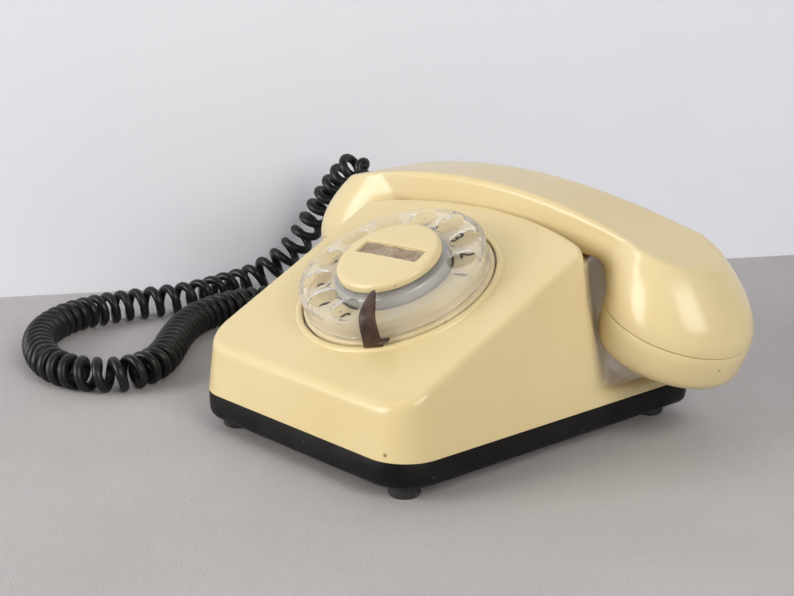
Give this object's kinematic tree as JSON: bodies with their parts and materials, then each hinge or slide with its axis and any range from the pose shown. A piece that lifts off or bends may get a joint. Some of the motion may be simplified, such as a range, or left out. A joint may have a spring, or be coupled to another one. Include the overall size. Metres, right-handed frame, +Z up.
{
  "type": "rotary dial telephone",
  "caption": "Desk telephone with a sloped rotary dial, a handset lying across its cradle, and a curly cord.",
  "frame": {"origin": "on the table under the middle of the telephone, cord left out", "axes": "+X to the right of someone facing the dial, +Y to the back, +Z up"},
  "size_m": [0.346, 0.2056, 0.1001],
  "materials": {
    "cream_plastic": "glossy, slightly yellowed",
    "black_plastic": "satin",
    "clear_plastic": "clear",
    "black_rubber": "matt",
    "cord_black": "satin",
    "steel": "plated",
    "brass": "plain",
    "dark_metal": "dark brown lacquer",
    "paper": "aged paper",
    "copper": "enamelled winding",
    "board_brown": "laminate",
    "capacitor_blue": "wrapped",
    "aluminium": "pressed"
  },
  "bodies": {
    "base": {"base_tray": "black_plastic", "rubber_feet": "black_rubber", "housing": "cream_plastic", "housing_screws": "steel", "dial_frame": "steel", "number_plate": "cream_plastic", "finger_stop": "dark_metal", "governor_drum": "brass", "dial_bridge": "steel", "mainspring": "steel", "pulse_contacts": "brass", "hook_pin": "steel", "hook_bracket": "steel", "hook_contacts": "brass", "ringer_frame": "steel", "gong_left": "brass", "gong_right": "brass", "gong_screws": "steel", "ringer_coils": "copper", "circuit_board": "board_brown", "board_standoffs": "black_plastic", "capacitor": "capacitor_blue", "induction_coil": "copper", "terminal_block": "black_plastic", "terminal_screws": "brass", "base_strain_relief": "black_rubber", "line_inlet": "black_rubber", "handset_cord": "cord_black"},
    "dial": {"finger_wheel": "clear_plastic", "hub_drum": "aluminium", "centre_cap": "cream_plastic", "label_card": "paper", "dial_shaft": "steel", "main_gear": "brass"},
    "pulse_train": {"pulse_shaft": "steel", "pulse_gear": "brass", "pulse_cam": "board_brown"},
    "governor": {"governor_shaft": "steel", "governor_weights": "brass"},
    "handset": {"handset_shell": "cream_plastic", "handset_strain_relief": "black_rubber", "earpiece_cap": "cream_plastic", "mouthpiece_cap": "cream_plastic", "receiver_capsule": "aluminium", "transmitter_capsule": "aluminium"},
    "plungers": {"hook_plungers": "cream_plastic"},
    "lever": {"hook_lever": "steel"},
    "bell_clapper": {"clapper": "steel"}
  },
  "joints": [
    {"name": "dial_turn", "type": "hinge", "parent": "base", "child": "dial", "pos_m": [0, -0.0233, 0.06496], "axis": [0, 0.4035, -0.915], "range_deg": [0, 320], "stiffness_Nm_per_rad": 0.01, "springref_deg": -57.3},
    {"name": "pulse_turn", "type": "hinge", "parent": "base", "child": "pulse_train", "pos_m": [-0.0288, -0.0233, 0.06496], "axis": [0, 0.4035, -0.915], "range_deg": [-1600.5, 0]},
    {"name": "governor_turn", "type": "hinge", "parent": "base", "child": "governor", "pos_m": [-0.0288, -0.03565, 0.05951], "axis": [0, 0.4035, -0.915], "range_deg": [0, 3201]},
    {"name": "handset_lift", "type": "slide", "parent": "base", "child": "handset", "axis": [0, 0, 1], "range_m": [0, 0.12], "deforming": ["handset_cord"]},
    {"name": "plunger_slide", "type": "slide", "parent": "base", "child": "plungers", "axis": [0, 0, 1], "range_m": [0, 0.00601]},
    {"name": "lever_tilt", "type": "hinge", "parent": "base", "child": "lever", "pos_m": [0, 0.028, 0.0555], "axis": [1, 0, 0], "range_deg": [0, 11.6]},
    {"name": "clapper_swing", "type": "hinge", "parent": "base", "child": "bell_clapper", "pos_m": [0, 0.0355, 0.0173], "axis": [0, 0, 1], "range_deg": [-7.5, 7.5], "stiffness_Nm_per_rad": 0.002}
  ],
  "couplings": [
    {"joint": "pulse_turn", "follows": "dial_turn", "ratio": -5},
    {"joint": "governor_turn", "follows": "dial_turn", "ratio": 10},
    {"joint": "plunger_slide", "follows": "handset_lift", "ratio": 0.05},
    {"joint": "lever_tilt", "follows": "handset_lift", "rad_per_m": 1.6667}
  ]
}
